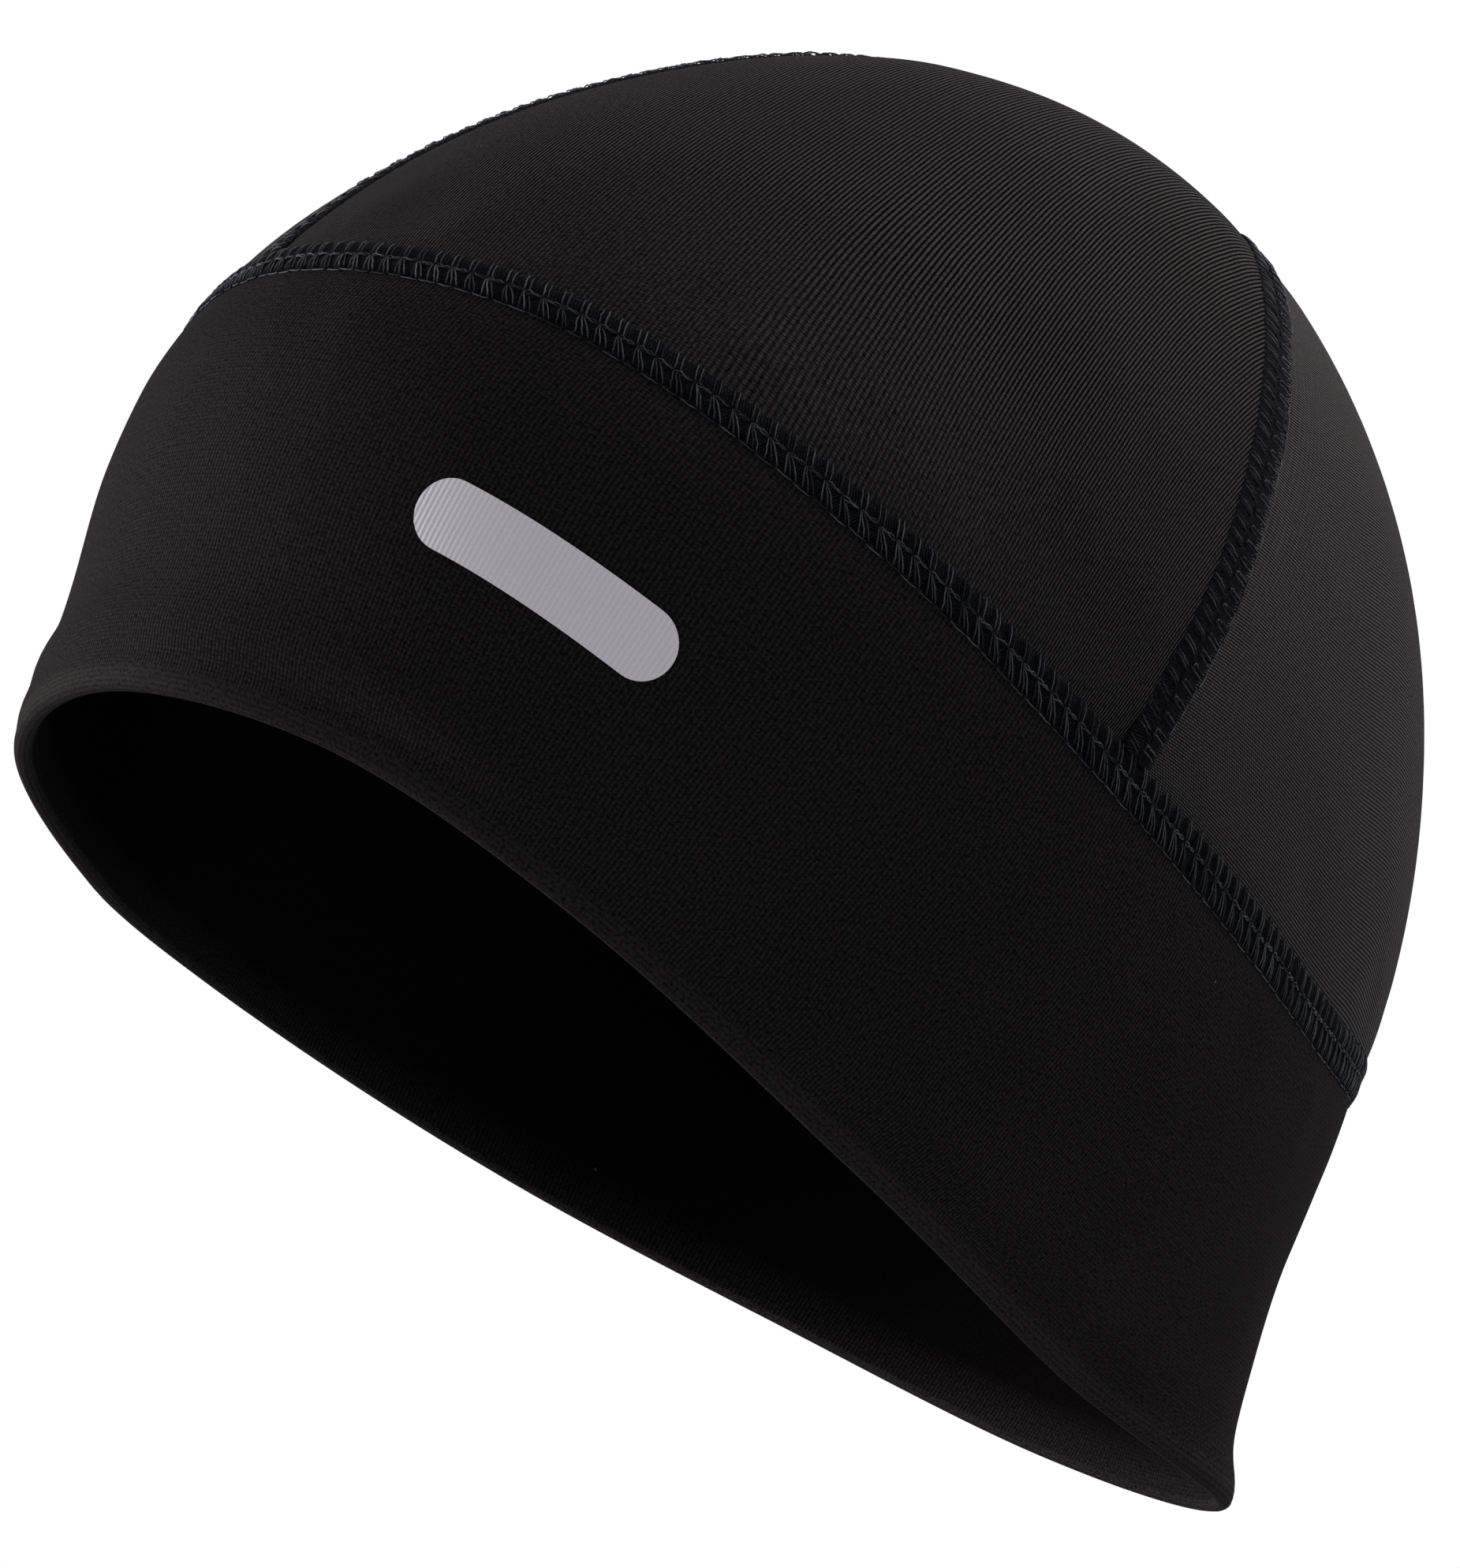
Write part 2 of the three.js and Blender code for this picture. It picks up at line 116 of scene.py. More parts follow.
def oval_angle(angle):
    """The angle on the head's oval, from its front, of an angle from the cap's front."""
    a = np.radians(angle + HEAD_TURN)
    reach = np.where(np.cos(a) > 0, FRONT_REACH, BACK_REACH)
    return np.degrees(np.arctan2(np.sin(a) / HALF_WIDTH, np.cos(a) / reach))


def rim_height(angle):
    return RIM_WAVE * column(BAND_ROWS, "oval", "rim", np.abs(oval_angle(angle)))


def seam_height(angle):
    band = BAND_HEIGHT * column(BAND_ROWS, "oval", "band", np.abs(oval_angle(angle)))
    return rim_height(angle) + band


def dome(angle, z):
    """Points on the outside of the cloth at angles and heights."""
    angle, z = np.broadcast_arrays(np.asarray(angle, float), np.asarray(z, float))
    share = z / CROWN_HEIGHT
    oval = oval_angle(angle)
    s, c = np.sin(np.radians(oval)), np.cos(np.radians(oval))
    above = np.maximum(z - rim_height(angle), 0)
    fade = np.exp(-((above / FLARE_DEPTH) ** FLARE_FADE))
    flare = RIM_FLARE * column(BAND_ROWS, "oval", "flare", np.abs(oval)) * fade
    half = HALF_WIDTH * section("width", share) + flare
    reach = np.where(
        c > 0, FRONT_REACH * section("front", share), BACK_REACH * section("back", share)
    ) + flare
    x = half * s * (1 - column(SECTIONS, "height", "taper", np.clip(share, 0, 1)) * c)
    y = -CROWN_LEAN * share - reach * c
    x, y = turned(x, y, -HEAD_TURN)
    return np.stack([x, y, z], -1)


def dome_rises(angle, z):
    """How far the surface runs, up its slope, for each millimetre of height."""
    z = np.minimum(z, CROWN_HEIGHT - 2 * SLOPE_STEP)
    return (dome(angle, z + SLOPE_STEP) - dome(angle, z)) / SLOPE_STEP


def dome_normals(angle, z):
    level = np.minimum(z, CROWN_HEIGHT - TOP_GAP)
    sideways = dome(angle + NORMAL_STEP, level) - dome(angle - NORMAL_STEP, level)
    normals = np.cross(sideways, dome_rises(angle, level))
    return normals / np.linalg.norm(normals, axis=-1, keepdims=True)


ORIGIN = dome(0.0, CROWN_HEIGHT) - [0, 0, CROWN_WALL]


def placed(points):
    """Points in the cap's own frame, in metres from the inside of the crown's top."""
    return (np.asarray(points) - ORIGIN) * MM


# Band
# One wide strip of fine ribbed stretch knit, doubled by the fold at its lower rim. Its ribs run
# up and down. A soft ridge above the rim shows where the inner layer's turning ends.
BAND_WALL = 2.2
RIDGE_HEIGHT = 8.5
RIDGE_SPREAD = 3.2
RIDGE_SWELL = 0.7
GROOVE_HEIGHT = 4.0
GROOVE_SPREAD = 1.8
GROOVE_DEPTH = 0.5
BAND_STEPS_AROUND = 720
BAND_STEPS_UP = 56
BAND_ROWS_CLOSER = 1.15
FOLD_STEPS = 8
BAND_CIRCUMFERENCE = 559.9
LIP_OUT = 2.8
LIP_HEIGHT = 4.5
# How strong the ridge, the groove and the lip that turns out are round the head. A groove
# below zero is filled out instead.
RELIEF_ROWS = [
    dict(oval=-180, ridge=0.5, groove=0.2, lip=0.0),
    dict(oval=-110, ridge=0.5, groove=-0.6, lip=0.1),
    dict(oval=-80, ridge=0.9, groove=-1.4, lip=0.2),
    dict(oval=-50, ridge=1.2, groove=-0.6, lip=0.2),
    dict(oval=-20, ridge=0.8, groove=0.6, lip=0.0),
    dict(oval=10, ridge=1.0, groove=1.0, lip=0.0),
    dict(oval=60, ridge=1.0, groove=1.0, lip=0.0),
    dict(oval=90, ridge=0.8, groove=0.6, lip=0.3),
    dict(oval=120, ridge=0.1, groove=0.0, lip=1.0),
    dict(oval=150, ridge=0.3, groove=0.1, lip=0.3),
    dict(oval=180, ridge=0.5, groove=0.2, lip=0.0),
]
# How a seam draws the cloth in, and puckers it a little further off in waves of several
# lengths
SEAM_SINK = 0.32
SEAM_SINK_SPREAD = 4.0
PUCKER_SWELL = 0.07
PUCKER_PLACE = 9.5
PUCKER_SPREAD = 3.5
PUCKER_WAVES = [
    dict(swell=1.0, length=2.9, shift=0.0),
    dict(swell=0.8, length=4.7, shift=1.3),
    dict(swell=0.6, length=1.9, shift=0.4),
]
BAND_SEAM_RADIUS = 88.0


def beside_seam(distance, run):
    """How far the cloth stands off the dome beside a seam, which draws it in and puckers it.
    distance is how far the seam's line is, and run the distance along it, in millimetres."""
    sink = np.exp(-((distance / SEAM_SINK_SPREAD) ** 2))
    waves = sum(w["swell"] * np.sin(run / w["length"] + w["shift"]) for w in PUCKER_WAVES)
    pucker = np.exp(-(((distance - PUCKER_PLACE) / PUCKER_SPREAD) ** 2))
    return PUCKER_SWELL * waves * pucker - SEAM_SINK * sink


def lay_cloth(name, points, across, along, ring=False, tube=False):
    """A mesh over a grid of points, with a UV map in millimetres of cloth for the knit.
    ring joins its last row to its first, and tube its last column to its first."""
    rows, columns = points.shape[:2]
    i, j = np.meshgrid(
        np.arange(rows - 1 + ring), np.arange(columns - 1 + tube), indexing="ij"
    )
    i, j = i.ravel(), j.ravel()
    corner_i = np.stack([i, i + 1, i + 1, i], -1)
    corner_j = np.stack([j, j, j + 1, j + 1], -1)
    index = (corner_i % rows) * columns + corner_j % columns
    mesh = bpy.data.meshes.new(name)
    mesh.from_pydata(placed(points).reshape(-1, 3).tolist(), [], index.tolist())
    uv = mesh.uv_layers.new(name="cloth")
    flat = np.stack([across[corner_i, corner_j], along[corner_i, corner_j]], -1)
    uv.data.foreach_set("uv", flat.ravel())
    mesh.shade_smooth()
    piece = bpy.data.objects.new(name, mesh)
    bpy.context.scene.collection.objects.link(piece)
    return piece


angles = np.linspace(-180, 180, BAND_STEPS_AROUND, endpoint=False)[:, None]
rim = rim_height(angles)
fold_radius = BAND_WALL / 2
rise = np.linalg.norm(dome_rises(angles, rim + fold_radius), axis=-1)
fold_top = rim + fold_radius / rise
band_top = seam_height(angles)
up_share = np.linspace(0, 1, BAND_STEPS_UP)[None, :] ** BAND_ROWS_CLOSER
outer_z = fold_top + (band_top - fold_top) * up_share
normals = dome_normals(angles, outer_z)
above_rim = outer_z - rim
oval = oval_angle(angles)
ridge = RIDGE_SWELL * column(RELIEF_ROWS, "oval", "ridge", oval)
groove = GROOVE_DEPTH * column(RELIEF_ROWS, "oval", "groove", oval)
lip = LIP_OUT * column(RELIEF_ROWS, "oval", "lip", oval)
relief = ridge * np.exp(-(((above_rim - RIDGE_HEIGHT) / RIDGE_SPREAD) ** 2))
relief -= groove * np.exp(-(((above_rim - GROOVE_HEIGHT) / GROOVE_SPREAD) ** 2))
below_seam = band_top - outer_z
relief += beside_seam(below_seam, np.radians(angles) * BAND_SEAM_RADIUS)
turned_out = lip * np.exp(-((above_rim / LIP_HEIGHT) ** 2))
surface = dome(angles, outer_z) + normals * turned_out[..., None]
outer = surface + normals * relief[..., None]
inner = (surface - normals * BAND_WALL)[:, ::-1]
start_normal = normals[:, :1]
start_up = dome_rises(angles, fold_top)
start_up /= np.linalg.norm(start_up, axis=-1, keepdims=True)
turns = np.linspace(math.pi, 0, FOLD_STEPS + 1)[1:-1][None, :, None]
centre = outer[:, :1] - start_normal * fold_radius
fold = centre + fold_radius * (start_normal * np.cos(turns) - start_up * np.sin(turns))
profile = np.concatenate([fold, outer, inner], axis=1)
profile_lengths = np.linalg.norm(
    np.diff(np.concatenate([profile, profile[:, :1]], axis=1), axis=1), axis=-1
).mean(0)
along = np.concatenate([[0], np.cumsum(profile_lengths)])[None, :]
across = np.linspace(0, BAND_CIRCUMFERENCE, BAND_STEPS_AROUND + 1)[:, None]
inner_from, inner_to = along[0, fold.shape[1] + BAND_STEPS_UP], along[0, -1]
across, along = np.broadcast_arrays(across, along)
band = lay_cloth("band_cloth", profile, across, along, ring=True, tube=True)


class Wire:
    """A socket in a material, on which Python's operators add Math nodes."""

    def __init__(self, finish, socket):
        self.finish = finish
        self.socket = socket

    def maths(self, operation, *values):
        inputs = dict(enumerate(values))
        return self.finish.node("ShaderNodeMath", {"operation": operation}, inputs)

    def __add__(self, other):
        return self.maths("ADD", self, other)

    def __sub__(self, other):
        return self.maths("SUBTRACT", self, other)

    def __rsub__(self, other):
        return self.maths("SUBTRACT", other, self)

    def __mul__(self, other):
        return self.maths("MULTIPLY", self, other)

    def __truediv__(self, other):
        return self.maths("DIVIDE", self, other)

    def __pow__(self, other):
        return self.maths("POWER", self, other)

    def __gt__(self, other):
        return self.maths("GREATER_THAN", self, other)

    def __lt__(self, other):
        return self.maths("LESS_THAN", self, other)

    def __abs__(self):
        return self.maths("ABSOLUTE", self)

    def cosine(self):
        return self.maths("COSINE", self)

    def wrapped(self):
        return self.maths("FRACT", self)


class Finish:
    """A material that is built up node by node."""

    def __init__(self, name):
        self.material = bpy.data.materials.new(name)
        self.material.use_nodes = True
        self.tree = self.material.node_tree
        self.tree.nodes.clear()

    def node(self, kind, settings=None, inputs=None, output=0):
        """Adds a node, sets it up, gives its sockets values or links, and returns an output."""
        made = self.tree.nodes.new(kind)
        for name, value in (settings or {}).items():
            setattr(made, name, value)
        for name, value in (inputs or {}).items():
            if isinstance(value, Wire):
                self.tree.links.new(value.socket, made.inputs[name])
            else:
                made.inputs[name].default_value = value
        return Wire(self, made.outputs[output]) if made.outputs else None

    def cloth_axes(self):
        """A place on the cloth's UV map, and its first and second coordinates."""
        uv = self.node("ShaderNodeUVMap", {"uv_map": "cloth"})
        u, v = (self.node("ShaderNodeSeparateXYZ", None, {0: uv}, output=k) for k in (0, 1))
        return uv, u, v

    def noise(self, place, scale, detail):
        inputs = {"Vector": place, "Scale": scale, "Detail": detail}
        return self.node("ShaderNodeTexNoise", None, inputs)

    def clamped(self, value, least=0.0):
        return self.node("ShaderNodeClamp", None, {"Value": value, "Min": least})

    def bump(self, strength, distance, height):
        inputs = {"Strength": strength, "Distance": distance, "Height": height}
        return self.node("ShaderNodeBump", None, inputs)

    def surface(self, inputs):
        return self.node("ShaderNodeBsdfPrincipled", None, inputs)

    def mixed(self, share, low, high):
        """A colour between two others."""
        colours = [c if isinstance(c, Wire) else (*c, 1) for c in (low, high)]
        return self.node(
            "ShaderNodeMix",
            {"data_type": "RGBA", "clamp_factor": True},
            {0: share, 6: colours[0], 7: colours[1]},
            output=2,
        )

    def finished(self, shader):
        self.node("ShaderNodeOutputMaterial", None, {"Surface": shader})
        return self.material


# The knit's ribs, the rolled edge over the fold and the painted shade inside the doubled cloth
RIB_WANDER = 0.5
WANDER_SCALE = 0.12
SOFTEST = 0.5
LOOP_SLANT = 0.8
ROLLED_EDGE = 5.4
ROLLED_FADE = 1.2
ROLLED_PITCH = 0.62
ROLLED_DEPTH = 0.16
ROLLED_LEVEL = 0.75
# Painted shade on the inner layer, which lies in shadow inside the cap: how it fades in below the
# seam, how it fades out before the rim, and how dark it is
INSIDE_FADE = 3.0
INSIDE_TOP_FADE = 6.0
INSIDE_PAINTED_SHADE = 0.9
# Fibres, grain and patches that vary the knit's tone
FIBRE_SCALE = 4.5
FIBRE_BASE = 0.5
FIBRE_BUMP = 0.25
GRAIN_SCALE = 2.3
GRAIN_GAIN = 3.6
GRAIN_CUT = 0.8
PATCH_SCALE = 0.04
PATCH_GAIN = 0.6
PATCH_BASE = 0.7
LINT_SPREAD = 0.09
LINT_SIZE = 0.02
LINT_FIBRES = 0.5
LINT_COLOUR = (0.035, 0.033, 0.032)
# How the knit takes light
KNIT_BUMP = 0.0002
GROOVE_ROUGHNESS = 0.8
CREST_ROUGHNESS = 0.7
CREST_SPECULAR = 0.012
CREST_SHEEN = 0.003
SHEEN_ROUGHNESS = 0.5
SHEEN_TINT = (0.95, 0.86, 0.82, 1)


def wave(place, pitch=1.0):
    """A wave between -1 and 1 with a crest at each multiple of its pitch."""
    return (place * (2 * math.pi / pitch)).cosine()


def knit(name, light, dark, wale, course, ribbing, beads, relief, shine, inside=None, soft=None):
    """Fine ribbed stretch knit: ribs along the cloth's second UV axis, made of small loops.
    The grooves between ribs and loops are painted darker, as painted shade. ribbing is how
    deep the ribs and their painted groove shade are, and beads how much the single loops show
    in them. A few flecks of lint lie on it. inside is where the cloth's inner layer starts and
    ends, if it's doubled: that layer gets painted shade, since the cap's inside lies in shadow,
    lighter again near the rim, and over the fold the loops run in rows along the edge.
    soft is where along the cloth its ribs are softest, and where they reach their full depth."""
    finish = Finish(name)
    uv, u, v = finish.cloth_axes()
    wander = finish.noise(uv, WANDER_SCALE, 1.0)
    ribs = u / wale + (wander - 0.5) * RIB_WANDER
    depth = ribbing / 2
    if soft:
        depth = finish.clamped((v - soft[0]) / (soft[1] - soft[0]), SOFTEST) * depth
    rib = wave(ribs) * depth + (1 - ribbing / 2)
    side = abs(ribs.wrapped() - 0.5)
    loop = wave(v / course + side * LOOP_SLANT) * 0.5 + 0.5
    height = rib * (loop * beads + (1 - beads))
    if inside:
        rolled = finish.clamped((ROLLED_EDGE - v) / ROLLED_FADE)
        rows = wave(v, ROLLED_PITCH) * ROLLED_DEPTH + ROLLED_LEVEL
        height = height + (rows - height) * rolled
        # Painted shade: the inner layer is darkened, since the cap's inside lies in shadow,
        # fading in below the seam and out again near the rim.
        entered = finish.clamped((v - inside[0]) / INSIDE_FADE)
        deep = finish.clamped((inside[1] - v) / INSIDE_TOP_FADE)
        height = height * (1.0 - entered * deep * INSIDE_PAINTED_SHADE)
    fibres = finish.noise(uv, FIBRE_SCALE, 3.0)
    grain = finish.noise(uv, GRAIN_SCALE, 2.0)
    patches = finish.noise(uv, PATCH_SCALE, 2.0)
    # The tone follows the height of ribs and loops, so the grooves between them get painted
    # shade; grain, fibres and patches vary it at random.
    groove_shaded_tone = height * (grain * GRAIN_GAIN - GRAIN_CUT) * (fibres + FIBRE_BASE)
    groove_shaded_tone = groove_shaded_tone * (patches * PATCH_GAIN + PATCH_BASE)
    specks = finish.node("ShaderNodeTexVoronoi", None, {"Vector": uv, "Scale": LINT_SPREAD})
    lint = (specks < LINT_SIZE) * (fibres > LINT_FIBRES)
    colour = finish.mixed(lint, finish.mixed(groove_shaded_tone, dark, light), LINT_COLOUR)
    bump = finish.bump(relief, KNIT_BUMP, height + fibres * FIBRE_BUMP)
    groove = finish.surface(
        {
            "Base Color": colour,
            "Roughness": GROOVE_ROUGHNESS,
            "Specular IOR Level": 0.0,
            "Normal": bump,
        }
    )
    crest = finish.surface(
        {
            "Base Color": colour,
            "Roughness": CREST_ROUGHNESS,
            "Specular IOR Level": CREST_SPECULAR * shine,
            "Sheen Weight": CREST_SHEEN * shine,
            "Sheen Roughness": SHEEN_ROUGHNESS,
            "Sheen Tint": SHEEN_TINT,
            "Normal": bump,
        }
    )
    shader = finish.node("ShaderNodeMixShader", None, {0: height, 1: groove, 2: crest})
    return finish.finished(shader)


# In each knit, light is the colour of the crests, and dark the colour of the painted shade in the
# grooves and of the darkest grain.
BAND_KNIT = knit(
    "charcoal_knit_band",
    light=(0.0086, 0.0078, 0.0080),
    dark=(0.0011, 0.0009, 0.0011),
    wale=0.55,
    course=0.45,
    ribbing=0.65,
    beads=0.4,
    relief=0.3,
    shine=0.2,
    inside=(inner_from, inner_to),
)
band.data.materials.append(BAND_KNIT)
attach(band, "root")
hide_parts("band")


# Centre panel of the crown
# One piece of the same knit, single, that runs from the front over the top to the back and is
# narrowest on top. Its ribs run from front to back. Its edges lie under the flat seams.
PANEL_HALF_TOP = 18.0
JOIN_FRONT_ANGLE = 40.6
JOIN_BACK_ANGLE = 132.0
PANEL_SEAM_ROWS = [
    dict(along=0.00, narrow=0.00),
    dict(along=0.08, narrow=0.11),
    dict(along=0.16, narrow=0.30),
    dict(along=0.25, narrow=0.53),
    dict(along=0.34, narrow=0.74),
    dict(along=0.43, narrow=0.91),
    dict(along=0.53, narrow=1.00),
    dict(along=0.64, narrow=0.93),
    dict(along=0.76, narrow=0.68),
    dict(along=0.89, narrow=0.29),
    dict(along=1.00, narrow=0.00),
]
CENTRE_STEPS_ACROSS = 150
CENTRE_STEPS_ALONG = 230
# How finely places on the crown are looked up
EDGE_POINTS = 600
LOWEST_SHARE = 0.2
HEIGHT_HALVINGS = 44
END_HALVINGS = 34


def dome_above(x, y):
    """The angle and height of points on the crown that are given as seen from above."""
    x, y = turned(np.asarray(x, float), np.asarray(y, float), HEAD_TURN)
    low = np.full(np.broadcast(x, y).shape, LOWEST_SHARE * CROWN_HEIGHT)
    high = np.full_like(low, CROWN_HEIGHT)
    for _ in range(HEIGHT_HALVINGS):
        z = (low + high) / 2
        share = z / CROWN_HEIGHT
        ahead = -CROWN_LEAN * share - y
        reach = np.where(
            ahead > 0,
            FRONT_REACH * section("front", share),
            BACK_REACH * section("back", share),
        )
        c = ahead / reach
        taper = column(SECTIONS, "height", "taper", share)
        s = x / (HALF_WIDTH * section("width", share) * (1 - taper * np.clip(c, -1, 1)))
        inside = c * c + s * s < 1
        low = np.where(inside, z, low)
        high = np.where(inside, high, z)
    oval = np.arctan2(s, c)
    reach = np.where(np.cos(oval) > 0, FRONT_REACH, BACK_REACH)
    angle = np.degrees(np.arctan2(HALF_WIDTH * np.sin(oval), reach * np.cos(oval)))
    return angle - HEAD_TURN, (low + high) / 2


def panel_seam(side, steps):
    """The line of a panel seam, from its front join to its back join, as angles and heights."""
    joins = side * np.array([JOIN_FRONT_ANGLE, JOIN_BACK_ANGLE])
    front, back = dome(joins, seam_height(joins))
    along = (1 - np.cos(np.linspace(0, math.pi, steps))) / 2
    narrow = column(PANEL_SEAM_ROWS, "along", "narrow", along)
    wide = front[0] + (back[0] - front[0]) * along
    x = wide + (side * PANEL_HALF_TOP - wide) * narrow
    y = front[1] + (back[1] - front[1]) * along
    return dome_above(x, y)


def panel_edge(side):
    """The same line as points, for reading its x at a given y."""
    angle, z = panel_seam(side, EDGE_POINTS)
    return dome(angle, z)


def ends_at_band(x_at):
    """The y at the front and back where a line over the crown meets the band seam."""
    found = []
    for outside in (-FRONT_REACH - CROWN_LEAN, BACK_REACH + CROWN_LEAN):
        outer = np.full(CENTRE_STEPS_ACROSS + 1, outside)
        inner = np.full(CENTRE_STEPS_ACROSS + 1, -CROWN_LEAN)
        for _ in range(END_HALVINGS):
            middle = (outer + inner) / 2
            angle, z = dome_above(x_at(middle), middle)
            over = z > seam_height(angle)
            inner = np.where(over, middle, inner)
            outer = np.where(over, outer, middle)
        found.append(inner)
    return found


edges = {side: panel_edge(side) for side in (-1, 1)}
share_across = np.linspace(0, 1, CENTRE_STEPS_ACROSS + 1)


def centre_x(y, share):
    right = np.interp(y, edges[-1][:, 1], edges[-1][:, 0])
    left = np.interp(y, edges[1][:, 1], edges[1][:, 0])
    return right + (left - right) * share


front_y, back_y = ends_at_band(lambda y: centre_x(y, share_across))
share_along = (1 - np.cos(np.linspace(0, math.pi, CENTRE_STEPS_ALONG + 1))) / 2
y = front_y[:, None] + (back_y - front_y)[:, None] * share_along[None, :]
x = centre_x(y, share_across[:, None])
angle, z = dome_above(x, y)
surface = dome(angle, z)
to_edge = np.minimum(share_across, 1 - share_across)[:, None] * (centre_x(y, 1) - centre_x(y, 0))
above_band = np.linalg.norm(dome_rises(angle, z), axis=-1) * (z - seam_height(angle))
stand = beside_seam(to_edge, y)
stand = stand + beside_seam(above_band, np.radians(angle) * BAND_SEAM_RADIUS)
surface = surface + dome_normals(angle, z) * stand[..., None]


def run_over(lines, axis):
    """The length over the crown, from the middle, along one axis of a grid of points."""
    steps = np.linalg.norm(np.diff(lines, axis=axis), axis=-1)
    run = np.insert(np.cumsum(steps, axis=axis), 0, 0, axis=axis)
    return run - np.take(run, [run.shape[axis] // 2], axis=axis)


def read_grid(values, column_at, row_at):
    """Values of a grid, read between its points."""
    i = np.clip(column_at.astype(int), 0, values.shape[0] - 2)
    j = np.clip(row_at.astype(int), 0, values.shape[1] - 2)
    a, b = column_at - i, row_at - j
    near = values[i, j] * (1 - b) + values[i, j + 1] * b
    far = values[i + 1, j] * (1 - b) + values[i + 1, j + 1] * b
    return near * (1 - a) + far * a


# The knit is laid from front to back. Its ribs fan out from the top, where the panel is narrow,
# more so on the wearer's left, and run into the panel's edges.
KNIT_GRID = 141
KNIT_GRID_WIDTH = 0.86
KNIT_SKEW = 3.0
KNIT_FAN = 0.000075
KNIT_FAN_FROM = 35.0
KNIT_FAN_RIGHT = 0.3
grid_reach = HALF_WIDTH * KNIT_GRID_WIDTH
grid_x = np.linspace(-grid_reach, grid_reach, KNIT_GRID)
grid_y = np.linspace(-FRONT_REACH, BACK_REACH, KNIT_GRID)
lines_x, lines_y = np.meshgrid(grid_x, grid_y, indexing="ij")
over = dome_above(lines_x, lines_y)[1]
lines = np.stack([lines_x, lines_y, over], -1)
column_at = (x - grid_x[0]) / (grid_x[1] - grid_x[0])
row_at = (y - grid_y[0]) / (grid_y[1] - grid_y[0])
across = read_grid(run_over(lines, 0), column_at, row_at)
along = read_grid(run_over(lines, 1), column_at, row_at)
below_top = np.maximum(np.abs(along) - KNIT_FAN_FROM, 0)
fan = np.where(across > 0, 1, KNIT_FAN_RIGHT) * KNIT_FAN
across = across * np.exp(-fan * below_top**2)
across, along = turned(across, along, -KNIT_SKEW)
centre_panel = lay_cloth("crown_centre_cloth", surface, across, along)


def thicken(piece, wall):
    """Gives a laid cloth its thickness, inwards."""
    bpy.context.view_layer.objects.active = piece
    solid = piece.modifiers.new("wall", "SOLIDIFY")
    solid.thickness = wall * MM
    solid.offset = -1
    solid.use_even_offset = True
    bpy.ops.object.modifier_apply(modifier="wall")


thicken(centre_panel, CROWN_WALL)
CROWN_KNIT = knit(
    "charcoal_knit_crown",
    light=(0.0158, 0.0143, 0.0144),
    dark=(0.0001, 0.0001, 0.0002),
    wale=0.52,
    course=0.42,
    ribbing=1.0,
    beads=0.3,
    relief=0.8,
    shine=1.0,
    soft=(-145.0, -90.0),
)
centre_panel.data.materials.append(CROWN_KNIT)
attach(centre_panel, "root")
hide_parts("crown_centre")


# Side panels of the crown
# Two pieces of the same knit, one on each side, between a panel seam and the band seam. Their
# ribs run level, round the head.
SIDE_STEPS_ALONG = 150
SIDE_STEPS_DOWN = 70
SIDE_KNIT = knit(
    "charcoal_knit_side",
    light=(0.0123, 0.0111, 0.0112),
    dark=(0.0010, 0.0009, 0.0010),
    wale=0.45,
    course=0.45,
    ribbing=0.9,
    beads=0.5,
    relief=0.7,
    shine=3.2,
)


def side_panel(side, name):
    angle, z = panel_seam(side, SIDE_STEPS_ALONG + 1)
    low_angle = np.linspace(angle[0], angle[-1], SIDE_STEPS_ALONG + 1)
    down = np.linspace(0, 1, SIDE_STEPS_DOWN + 1)[:, None]
    grid_angle = angle + (low_angle - angle) * down
    grid_z = z + (seam_height(low_angle) - z) * down
    surface = dome(grid_angle, grid_z)
    run_down = np.linalg.norm(np.diff(surface, axis=0, prepend=surface[:1]), axis=-1)
    from_top = np.cumsum(run_down, axis=0)
    above_band = from_top[-1] - from_top
    stand = beside_seam(from_top, surface[:1, :, 1])
    stand += beside_seam(above_band, np.radians(grid_angle) * BAND_SEAM_RADIUS)
    surface = surface + dome_normals(grid_angle, grid_z) * stand[..., None]
    across = np.cumsum(run_down[::-1], axis=0)[::-1]
    along = np.cumsum(
        np.linalg.norm(np.diff(surface, axis=1, prepend=surface[:, :1]), axis=-1), axis=1
    )
    if side < 0:
        surface, across, along = surface[::-1], across[::-1], along[::-1]
    panel = lay_cloth(name, surface, across, along)
    thicken(panel, CROWN_WALL)
    panel.data.materials.append(SIDE_KNIT)
    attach(panel, "root")
    return panel


side_left = side_panel(1, "crown_side_left_cloth")
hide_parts("crown_side_left")
side_right = side_panel(-1, "crown_side_right_cloth")
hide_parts("crown_side_right")


# Flat seams
# The cloth's edges butt under a flat seam, a strip of blue-black cover threads that is stitched
# through them. One seam goes round the cap between crown and band, and one along each side panel.
SEAM_WIDTH = 5.4
SEAM_STAND = -0.10
SEAM_INSIDE = 0.30
SEAM_PITCH = 2.5
PANEL_SEAM_START = 0.4
MAT_STEP = 0.36
MAT_SIDES = 34
MAT_FLAT_ACROSS = 0.8
MAT_FLAT_UP = 0.35
MAT_SCALLOP = 0.03
PAD_SWELL = 0.14
PAD_LEAN = 0.42
CHAIN_GROOVE = 0.20
CHAIN_PLACE = 0.12
CHAIN_SPREAD = 0.3
THREAD_RADIUS = 0.085
THREAD_SIDES = 4
THREAD_POINTS = 7
THREAD_SINK = 0.04
STITCH_START = 0.3
BAND_SEAM_POINTS = 900
PANEL_SEAM_POINTS = 700
